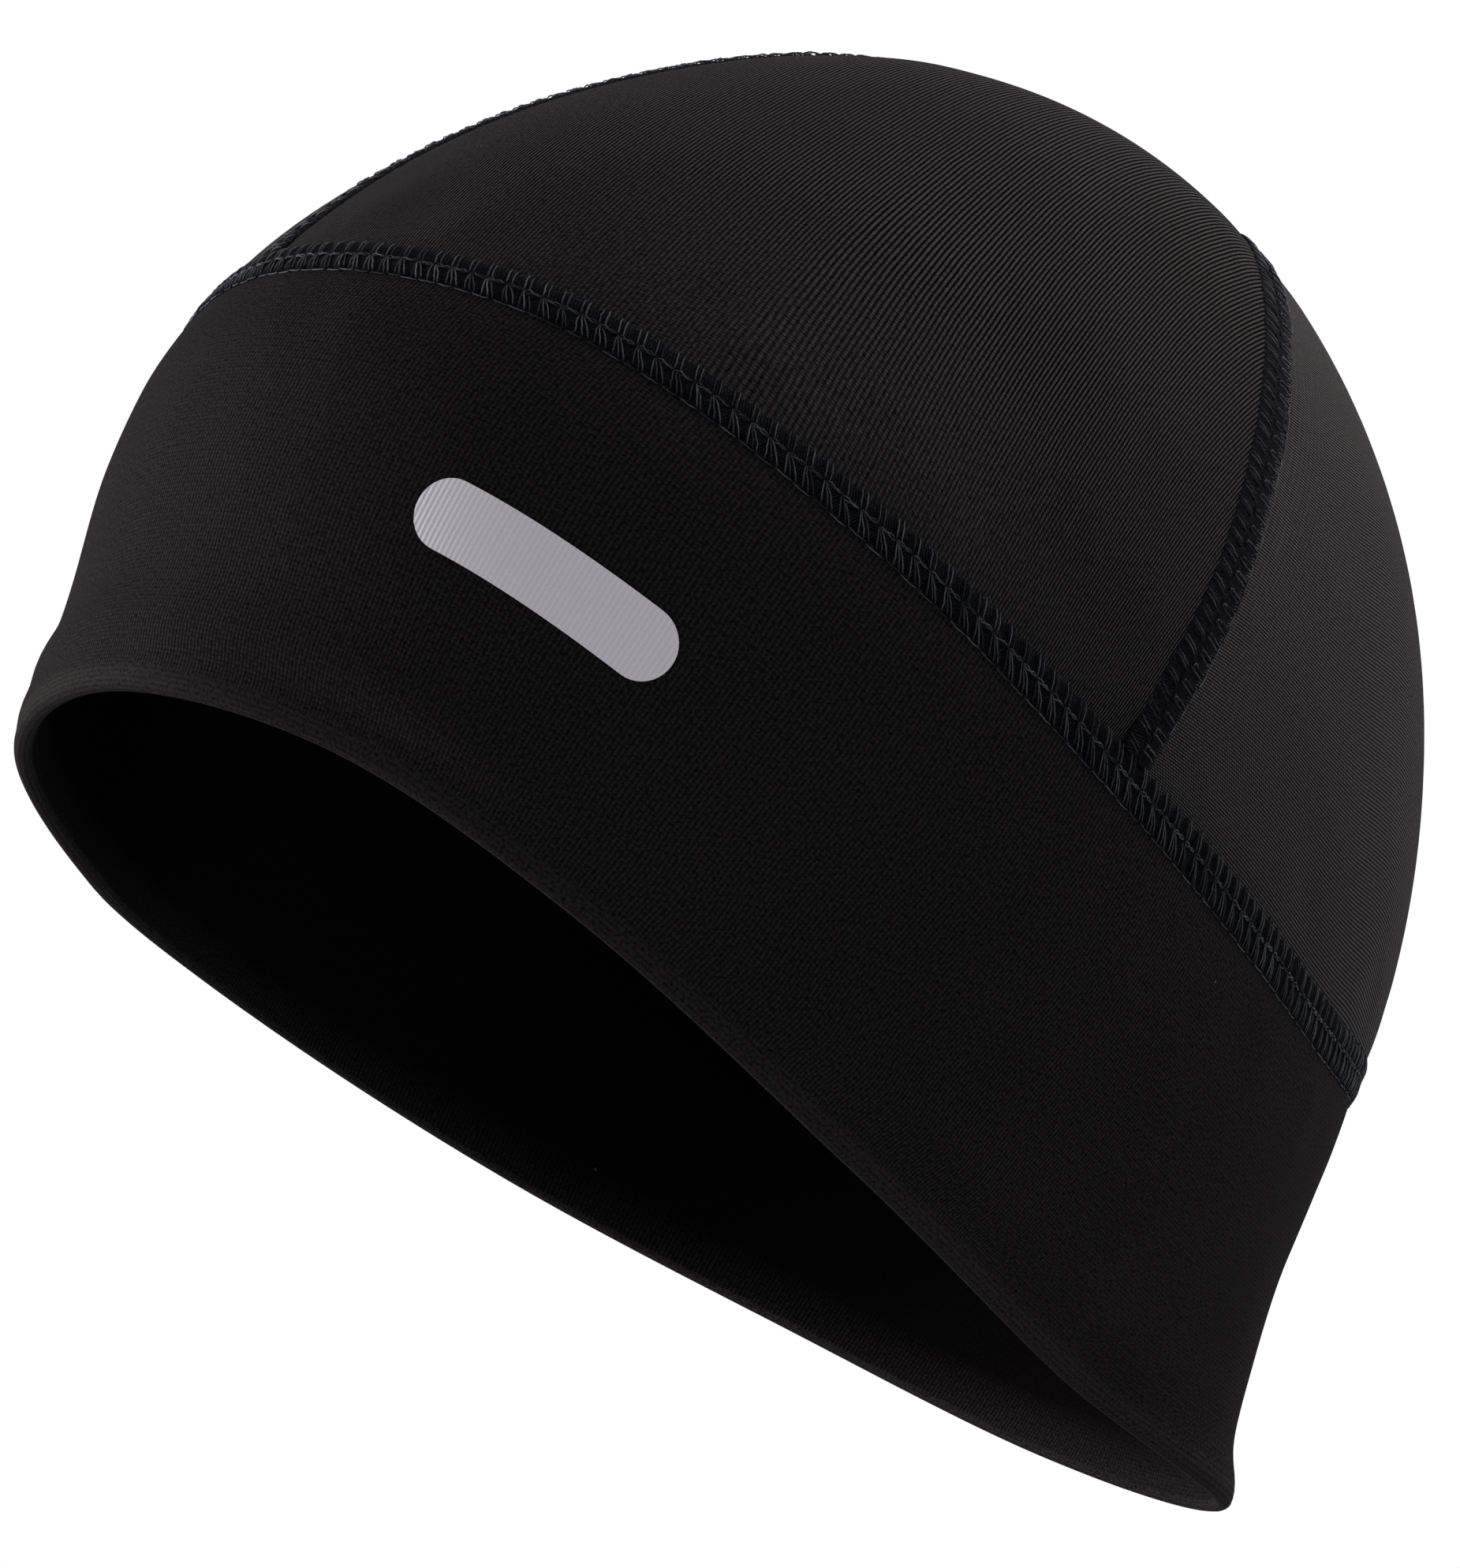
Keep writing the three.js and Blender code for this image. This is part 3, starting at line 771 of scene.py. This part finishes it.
# One stitch of each seam, a line for each thread. Its points are places along the seam, across
# it towards the crown's middle, and off the cloth, in millimetres.
BAND_STITCH = [
    [(0.10, 0.10, 0.17), (-0.25, 0.90, 0.34), (-0.62, 1.80, 0.31), (-0.95, 2.62, 0.02)],
    [(0.75, 0.10, 0.17), (0.42, 0.90, 0.34), (0.08, 1.80, 0.31), (-0.25, 2.62, 0.02)],
    [(0.15, 0.08, 0.18), (0.45, -0.80, 0.31), (0.90, -1.70, 0.27), (1.35, -2.62, 0.02)],
    [(0.30, 0.08, 0.20), (0.85, -0.80, 0.34), (1.55, -1.70, 0.29), (2.20, -2.62, 0.02)],
    [(0.35, 0.10, 0.13), (1.20, -0.60, 0.24), (2.10, -1.60, 0.23), (2.85, -2.60, 0.02)],
    [(0.00, -2.62, 0.02), (0.80, -2.70, 0.02), (1.70, -2.70, 0.02), (2.55, -2.62, 0.02)],
    [(0.10, 0.00, 0.13), (0.80, 0.26, 0.27), (1.70, -0.06, 0.26), (2.60, 0.10, 0.13)],
    [(0.20, 0.20, 0.13), (0.90, -0.12, 0.24), (1.80, 0.24, 0.24), (2.70, 0.05, 0.13)],
]
PANEL_STITCH = [
    [(0.00, 0.22, 0.15), (0.06, 1.00, 0.34), (0.22, 1.85, 0.31), (0.45, 2.62, 0.02)],
    [(0.66, 0.22, 0.15), (0.72, 1.00, 0.34), (0.90, 1.85, 0.31), (1.15, 2.62, 0.02)],
    [(1.00, -0.05, 0.17), (0.90, -0.90, 0.32), (0.92, -1.80, 0.29), (1.10, -2.58, 0.02)],
    [(1.66, -0.05, 0.17), (1.60, -0.90, 0.34), (1.66, -1.80, 0.31), (1.85, -2.58, 0.02)],
    [(1.00, -0.50, 0.24), (1.35, -0.35, 0.34), (1.62, -0.70, 0.34), (1.30, -1.10, 0.29)],
    [(0.00, -2.66, 0.02), (0.80, -2.72, 0.06), (1.70, -2.72, 0.06), (2.55, -2.66, 0.02)],
]
# How far a stitch, each of its threads and each point of them stray, along, across and up
STITCH_STRAY = 0.05, [1, 0.8, 0.3]
THREAD_STRAY = 0.06, [1, 0.6, 0.5]
POINT_STRAY = 0.03, [1, 1, 0.5]
# The ladder of thread that shows on the wrong side of each seam
INNER_STITCH = [
    [(0.00, -2.50, 0.02), (0.10, -0.90, 0.22), (0.30, 0.90, 0.22), (0.40, 2.50, 0.02)],
    [(1.25, -2.50, 0.02), (1.10, -0.90, 0.22), (0.90, 0.90, 0.22), (0.80, 2.50, 0.02)],
]
INNER_SEED = 10


class SeamLine:
    """A seam's line over the cloth, read by the distance along it."""

    def __init__(self, points, normals, closed):
        self.closed = closed
        if closed:
            points = np.concatenate([points, points[:1]])
            normals = np.concatenate([normals, normals[:1]])
        steps = np.linalg.norm(np.diff(points, axis=0), axis=-1)
        self.reached = np.concatenate([[0], np.cumsum(steps)])
        self.length = self.reached[-1]
        if closed:
            ahead = np.roll(points[:-1], -1, axis=0) - np.roll(points[:-1], 1, axis=0)
            ahead = np.concatenate([ahead, ahead[:1]])
        else:
            ahead = np.gradient(points, axis=0)
        across = np.cross(normals, ahead)
        self.points = points
        self.normals = normals
        self.across = across / np.linalg.norm(across, axis=-1, keepdims=True)

    def read(self, values, s):
        s = np.mod(s, self.length) if self.closed else np.clip(s, 0, self.length)
        return np.stack([np.interp(s, self.reached, values[:, k]) for k in range(3)], -1)

    def at(self, s, across, off):
        """Points at distances along the seam, across it and off the cloth."""
        side = self.read(self.across, s) * np.asarray(across)[..., None]
        lift = self.read(self.normals, s) * np.asarray(off)[..., None]
        return self.read(self.points, s) + side + lift


def thread_tubes(name, paths, sideways):
    """One mesh of many threads. paths holds the points of each, and sideways the directions
    that their sections start from."""
    count, steps = paths.shape[:2]
    ahead = np.gradient(paths, axis=1)
    ahead /= np.linalg.norm(ahead, axis=-1, keepdims=True)
    first = np.cross(ahead, sideways)
    first /= np.linalg.norm(first, axis=-1, keepdims=True)
    second = np.cross(ahead, first)
    turns = np.linspace(0, 2 * math.pi, THREAD_SIDES, endpoint=False)[None, None, :, None]
    rings = paths[:, :, None] + THREAD_RADIUS * (
        first[:, :, None] * np.cos(turns) + second[:, :, None] * np.sin(turns)
    )
    ring = np.arange(THREAD_SIDES)
    after = (ring + 1) % THREAD_SIDES
    start = np.arange(steps - 1)[:, None] * THREAD_SIDES
    onward = start + THREAD_SIDES
    walls = np.stack([start + ring, start + after, onward + after, onward + ring], -1)
    walls = walls.reshape(-1, 4)
    ends = np.stack([ring[::-1], ring + (steps - 1) * THREAD_SIDES])
    faces = []
    for k in range(count):
        first_point = k * steps * THREAD_SIDES
        faces += (walls + first_point).tolist() + (ends + first_point).tolist()
    mesh = bpy.data.meshes.new(name)
    mesh.from_pydata(placed(rings).reshape(-1, 3).tolist(), [], faces)
    point = np.empty(len(mesh.loops), int)
    mesh.loops.foreach_get("vertex_index", point)
    run = point // THREAD_SIDES % steps / (steps - 1)
    shades = np.random.default_rng(count).uniform(0, 1, count)
    flat = np.stack([run, shades[point // (steps * THREAD_SIDES)]], -1)
    mesh.uv_layers.new(name="cloth").data.foreach_set("uv", flat.ravel())
    mesh.shade_smooth()
    piece = bpy.data.objects.new(name, mesh)
    bpy.context.scene.collection.objects.link(piece)
    return piece


def rounded_path(corners):
    """More points on a smooth curve through a thread's few points."""
    corners = np.array(corners, float)
    at = np.linspace(0, len(corners) - 1, THREAD_POINTS)
    slopes = np.gradient(corners, axis=0)
    i = np.minimum(at.astype(int), len(corners) - 2)
    t = (at - i)[:, None]
    rise = t * t * (3 - 2 * t)
    bends = t * (1 - t) ** 2 * slopes[i] + t * t * (t - 1) * slopes[i + 1]
    return corners[i] * (1 - rise) + corners[i + 1] * rise + bends


def strayed(random, stray, shape):
    """Random offsets for the points of threads."""
    amount, shares = stray
    return random.normal(0, amount, (*shape, 3)) * shares


def stitched(line, side, stitch, seed, base):
    """The threads of a row of stitches, each a little out of true."""
    stitches = round(line.length / SEAM_PITCH)
    pitch = line.length / stitches
    random = np.random.default_rng(seed)
    paths = np.array([rounded_path(thread) for thread in stitch])
    paths[..., 2] = base + np.sign(base + 0.5) * paths[..., 2]
    starts = (np.arange(stitches) + STITCH_START) * pitch
    whole = strayed(random, STITCH_STRAY, (stitches, 1, 1))
    single = strayed(random, THREAD_STRAY, (stitches, len(stitch), 1))
    sag = strayed(random, POINT_STRAY, (stitches, len(stitch), THREAD_POINTS))
    laid = paths[None] * [pitch / SEAM_PITCH, side, 1] + whole + single + sag
    laid[..., 0] += starts[:, None, None]
    laid = laid.reshape(-1, THREAD_POINTS, 3)
    if not line.closed:
        inside = (laid[..., 0].min(1) > 0) & (laid[..., 0].max(1) < line.length)
        laid = laid[inside]
    along, across, off = np.moveaxis(laid, -1, 0)
    return line.at(along, across, off), line.read(line.normals, along)


def sew(line, side, name, node, stitch, depth, seed):
    """Lays a flat seam along a line: a mat of thread, and the stitches on both its sides."""
    pitch = line.length / round(line.length / SEAM_PITCH)
    s = np.linspace(0, line.length, int(line.length / MAT_STEP), endpoint=not line.closed)
    turns = np.linspace(0, 2 * math.pi, MAT_SIDES, endpoint=False)
    v = SEAM_WIDTH / 2 * np.sign(np.cos(turns)) * np.abs(np.cos(turns)) ** MAT_FLAT_ACROSS
    rise = np.sign(np.sin(turns)) * np.abs(np.sin(turns)) ** MAT_FLAT_UP
    top, under = SEAM_STAND, -depth - SEAM_INSIDE
    h = (top + under) / 2 + (top - under) / 2 * rise
    grid_s, grid_v = np.meshgrid(s, v, indexing="ij")
    phase = (grid_s + PAD_LEAN * np.abs(grid_v)) / pitch
    pads = np.sqrt(0.5 - 0.5 * np.cos(2 * math.pi * phase))
    chain = np.exp(-(((grid_v * side - CHAIN_PLACE) / CHAIN_SPREAD) ** 2))
    swell = (PAD_SWELL * pads - CHAIN_GROOVE * chain) * np.clip(rise, 0, 1)
    scallop = 1 + MAT_SCALLOP * np.cos(2 * math.pi * grid_s / pitch)
    points = line.at(grid_s, grid_v * scallop, h + swell)
    long_uv = np.append(s, line.length) if line.closed else s
    along, across = np.meshgrid(long_uv, np.append(v, v[0]), indexing="ij")
    mat = lay_cloth(name + "_mat", points, across, along, ring=line.closed, tube=True)
    mat.data.materials.append(MAT_FINISH)
    outer = stitched(line, side, stitch, seed, SEAM_STAND - THREAD_SINK)
    inner = stitched(line, side, INNER_STITCH, seed + INNER_SEED, under)
    paths = np.concatenate([outer[0], inner[0]])
    sideways = np.concatenate([outer[1], inner[1]])
    threads = thread_tubes(name + "_threads", paths, sideways)
    threads.data.materials.append(THREAD_FINISH)
    for piece in (mat, threads):
        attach(piece, "root")
        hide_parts(node)


STRAND_PITCH = 0.36
STRAND_GAIN = 2.4
STRAND_CUT = 0.5
SHADE_GAIN = 0.9
SHADE_BASE = 0.2
SPUN_GAIN = 1.8
SPUN_BASE = 0.1
THREAD_GRAIN_SCALE = 2500.0
THREAD_BUMP = 0.0001
THREAD_SPECULAR = 0.005


def thread_finish(name, low, high, roughness, share):
    """Twisted thread. share makes a value from 0 to 1 of its UV coordinates and its grain."""
    finish = Finish(name)
    place = finish.node("ShaderNodeTexCoord", output=3)
    grain = finish.noise(place, THREAD_GRAIN_SCALE, 2.0)
    lit = share(*finish.cloth_axes()[1:], grain)
    return finish.finished(
        finish.surface(
            {
                "Base Color": finish.mixed(lit, low, high),
                "Roughness": roughness,
                "Specular IOR Level": THREAD_SPECULAR,
                "Normal": finish.bump(0.5, THREAD_BUMP, lit + grain * 0.5),
            }
        )
    )


def mat_strands(u, v, grain):
    """Fine slanted strands, packed side by side across the mat."""
    strand = wave(v + abs(u) * PAD_LEAN + grain * 0.5, STRAND_PITCH) * 0.5 + 0.5
    return strand * (grain * STRAND_GAIN - STRAND_CUT)


def thread_tone_and_painted_shade(u, v, grain):
    """Lighter in the middle of a stitch with painted shade where it dips into the cloth, and no
    two threads alike.
    """
    # Painted shade: each thread darkens towards its ends, where it goes into the cloth.
    middle = 1.0 - abs(u * 2.0 - 1.0) ** 3
    return middle * (v * SHADE_GAIN + SHADE_BASE) * (grain * SPUN_GAIN + SPUN_BASE)


MAT_FINISH = thread_finish(
    "seam_mat_thread", (0.0003, 0.0003, 0.0005), (0.0048, 0.0052, 0.0070), 0.8, mat_strands
)
THREAD_FINISH = thread_finish(
    "seam_cover_thread", (0.0012, 0.0013, 0.0020), (0.0375, 0.0390, 0.0480), 0.5, thread_tone_and_painted_shade
)

angle = np.linspace(0, 360, BAND_SEAM_POINTS, endpoint=False)
z = seam_height(angle)
line = SeamLine(dome(angle, z), dome_normals(angle, z), closed=True)
sew(line, 1, "band_seam", "band_seam", BAND_STITCH, BAND_WALL, seed=1)

for side, name in ((1, "panel_seam_left"), (-1, "panel_seam_right")):
    angle, z = panel_seam(side, PANEL_SEAM_POINTS)
    above_band = np.linalg.norm(dome_rises(angle, z), axis=-1) * (z - seam_height(angle))
    kept = above_band > SEAM_WIDTH * PANEL_SEAM_START
    line = SeamLine(dome(angle, z)[kept], dome_normals(angle, z)[kept], closed=False)
    sew(line, side, name, name, PANEL_STITCH, CROWN_WALL, seed=3 + side)


# Reflective bar
# A plain bar with round ends, printed on the front of the band in a light grey that throws
# light back. The print is thin, so that the ribs of the knit show through it; its colour
# carries painted shade in their grooves and painted glints of its beads.
BAR_LENGTH = 33.0
BAR_WIDTH = 8.0
BAR_ABOVE_RIM = 26.5
BAR_STAND = 0.25
BAR_THICKNESS = 0.5
BAR_END_GAP = 0.02
BAR_END_STEPS = 10
BAR_CUTS = (33, 9)
BAR_RIB_PITCH = 0.6
BAR_BEAD_SCALE = 9.0
BAR_BEAD_SHARE = 0.85
BAR_RIB_SHARE = 0.15
BAR_BUMP = 0.0001
BAR_DARK = (0.19, 0.175, 0.20)
BAR_LIGHT = (0.42, 0.39, 0.44)

bpy.ops.object.select_all(action="DESELECT")
bpy.ops.mesh.primitive_plane_add(size=1)
bar = bpy.context.object
bar.name = "reflective_bar_print"
bar.data.name = "reflective_bar_print"
bar.scale = (BAR_LENGTH, BAR_WIDTH, 1)
bpy.ops.object.transform_apply(location=False, rotation=False, scale=True)
bpy.ops.object.mode_set(mode="EDIT")
bpy.ops.mesh.select_all(action="SELECT")
bpy.ops.mesh.bevel(
    offset=BAR_WIDTH / 2 - BAR_END_GAP, segments=BAR_END_STEPS, affect="VERTICES"
)
bpy.ops.mesh.select_all(action="SELECT")
bpy.ops.mesh.extrude_region_move(TRANSFORM_OT_translate={"value": (0, 0, -BAR_THICKNESS)})
bpy.ops.mesh.select_all(action="SELECT")
bpy.ops.mesh.normals_make_consistent(inside=False)
for count, size, direction in zip(BAR_CUTS, (BAR_LENGTH, BAR_WIDTH), ((1, 0, 0), (0, 1, 0))):
    for k in range(1, count):
        cut = (k / count - 0.5) * size
        bpy.ops.mesh.select_all(action="SELECT")
        bpy.ops.mesh.bisect(plane_co=[cut * d for d in direction], plane_no=direction)
bpy.ops.object.mode_set(mode="OBJECT")
flat = np.array([v.co[:] for v in bar.data.vertices])
middle = rim_height(0.0) + BAR_ABOVE_RIM
around = np.linalg.norm(dome(1.0, middle) - dome(0.0, middle))
up_slope = np.linalg.norm(dome_rises(0.0, middle))
angle = flat[:, 0] / around
z = rim_height(angle) + BAR_ABOVE_RIM + flat[:, 1] / up_slope
bent = dome(angle, z) + dome_normals(angle, z) * (flat[:, 2:] + BAR_STAND)
bar.data.vertices.foreach_set("co", placed(bent).ravel())
uv = bar.data.uv_layers["UVMap"]
uv.name = "cloth"
loops = np.array([loop.vertex_index for loop in bar.data.loops])
uv.data.foreach_set("uv", flat[loops, :2].ravel())
bar.data.update()

finish = Finish("reflective_print")
uv, u, v = finish.cloth_axes()
# The print's colour carries painted glints of its beads and painted shade in the grooves of the
# ribs under it.
beads = finish.noise(uv, BAR_BEAD_SCALE, 2.0)
ribs = wave(u, BAR_RIB_PITCH) * 0.5 + 0.5
bead_glint_and_rib_shade = beads * BAR_BEAD_SHARE + ribs * BAR_RIB_SHARE
bar.data.materials.clear()
bar.data.materials.append(
    finish.finished(
        finish.surface(
            {
                "Base Color": finish.mixed(bead_glint_and_rib_shade, BAR_DARK, BAR_LIGHT),
                "Roughness": 0.45,
                "Metallic": 0.1,
                "Normal": finish.bump(0.5, BAR_BUMP, ribs + beads * 0.3),
            }
        )
    )
)
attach(bar, "root")
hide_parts("reflective_bar")


# Floor, light and camera
# A pale floor far under the cap, which is held up as on a head, soft light from large panels
# and from all round, and a camera that looks at the cap as the photograph does.
FLOOR_DROP = 1.6
FLOOR_SIZE = 8
FLOOR_COLOUR = (0.86, 0.86, 0.86, 1)
LAMPS_AIM = (0, 0, -0.06)
LAMP_TINT = (1.0, 0.97, 0.95)
LAMPS = [
    dict(name="lamp_above", place=(0.10, 0.20, 0.75), size=(0.7, 0.7), power=24.0),
    dict(name="lamp_left", place=(0.68, 0.52, 0.02), size=(0.4, 0.6), power=4.0),
    dict(name="lamp_right", place=(-0.72, 0.08, -0.32), size=(0.4, 0.6), power=25.0),
]

bpy.ops.mesh.primitive_plane_add(size=FLOOR_SIZE, location=(0, 0, -FLOOR_DROP))
floor = bpy.context.object
floor.name = "floor"
finish = Finish("floor_paint")
paint = finish.surface({"Base Color": FLOOR_COLOUR, "Roughness": 0.9})
floor.data.materials.append(finish.finished(paint))

world = bpy.data.worlds.new("studio")
bpy.context.scene.world = world
world.use_nodes = True
sky = world.node_tree.nodes["Background"]
sky.inputs["Color"].default_value = (1, 1, 1, 1)
sky.inputs["Strength"].default_value = 1.0
bpy.context.scene.view_settings.view_transform = "Standard"

for panel in LAMPS:
    bpy.ops.object.light_add(type="AREA", location=panel["place"])
    lamp = bpy.context.object
    lamp.name = panel["name"]
    lamp.data.shape = "RECTANGLE"
    lamp.data.size, lamp.data.size_y = panel["size"]
    lamp.data.energy = panel["power"]
    lamp.data.color = LAMP_TINT
    aim = Vector(LAMPS_AIM) - Vector(panel["place"])
    lamp.rotation_euler = aim.to_track_quat("-Z", "Y").to_euler()
    lamp.visible_camera = False

# The camera's direction and roll in degrees, and its place in millimetres from a point on the
# cap's upright axis
CAMERA_AZIMUTH = 16.325
CAMERA_ELEVATION = -11.878
CAMERA_ROLL = 31.573
CAMERA_DISTANCE = 1077.94
CAMERA_RIGHT = -12.684
CAMERA_UP = -13.639
LOOK_AT_HEIGHT = 65.0
FOCAL_PX = 11639.0
PHOTO_HEIGHT_PX = 1988
SENSOR_MM = 36.0

azimuth, elevation, roll = (
    math.radians(a) for a in (CAMERA_AZIMUTH, CAMERA_ELEVATION, CAMERA_ROLL)
)
back = Vector(
    (
        math.sin(azimuth) * math.cos(elevation),
        -math.cos(azimuth) * math.cos(elevation),
        math.sin(elevation),
    )
)
level_right = Vector((math.cos(azimuth), math.sin(azimuth), 0))
level_up = back.cross(level_right)
right = level_right * math.cos(roll) + level_up * math.sin(roll)
up = level_up * math.cos(roll) - level_right * math.sin(roll)
place = Vector((0, 0, LOOK_AT_HEIGHT)) + right * CAMERA_RIGHT + up * CAMERA_UP
place += back * CAMERA_DISTANCE
camera_data = bpy.data.cameras.new("camera")
camera_data.sensor_width = SENSOR_MM
camera_data.lens = FOCAL_PX * SENSOR_MM / PHOTO_HEIGHT_PX
camera = bpy.data.objects.new("camera", camera_data)
bpy.context.scene.collection.objects.link(camera)
turn = Matrix((right, up, back)).transposed().to_4x4()
camera.matrix_world = Matrix.Translation(Vector(placed(place))) @ turn
bpy.context.scene.camera = camera
